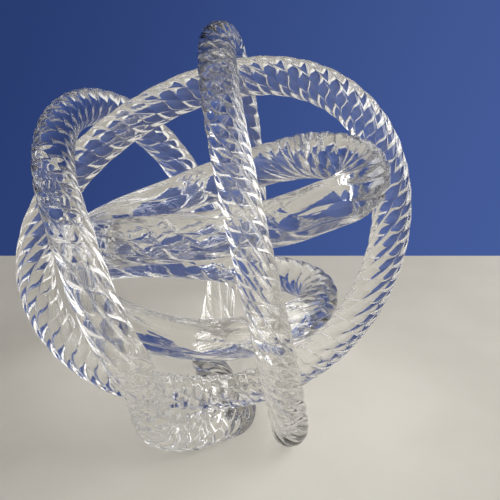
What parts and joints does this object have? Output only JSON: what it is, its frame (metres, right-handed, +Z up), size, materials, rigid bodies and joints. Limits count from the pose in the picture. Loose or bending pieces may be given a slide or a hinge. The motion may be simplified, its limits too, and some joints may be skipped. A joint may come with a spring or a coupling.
{
  "type": "glass rope sculpture",
  "caption": "Open ball of clear ribbed glass rope: twisted loops bent round each other and fused where they touch, free-standing as a table ornament.",
  "frame": {"origin": "on the table, under the middle of the sculpture's box", "axes": "+Z up; +X to the right and +Y away, as seen from the front, where the ring faces the viewer"},
  "size_m": [0.155, 0.15, 0.1668],
  "materials": {
    "clear_glass": "clear solid glass, fire-polished, with wound ribs"
  },
  "bodies": {
    "root": {"front_ring": "clear_glass", "tall_loop": "clear_glass", "left_loop": "clear_glass", "upper_loop": "clear_glass", "lower_loop": "clear_glass"}
  },
  "joints": []
}
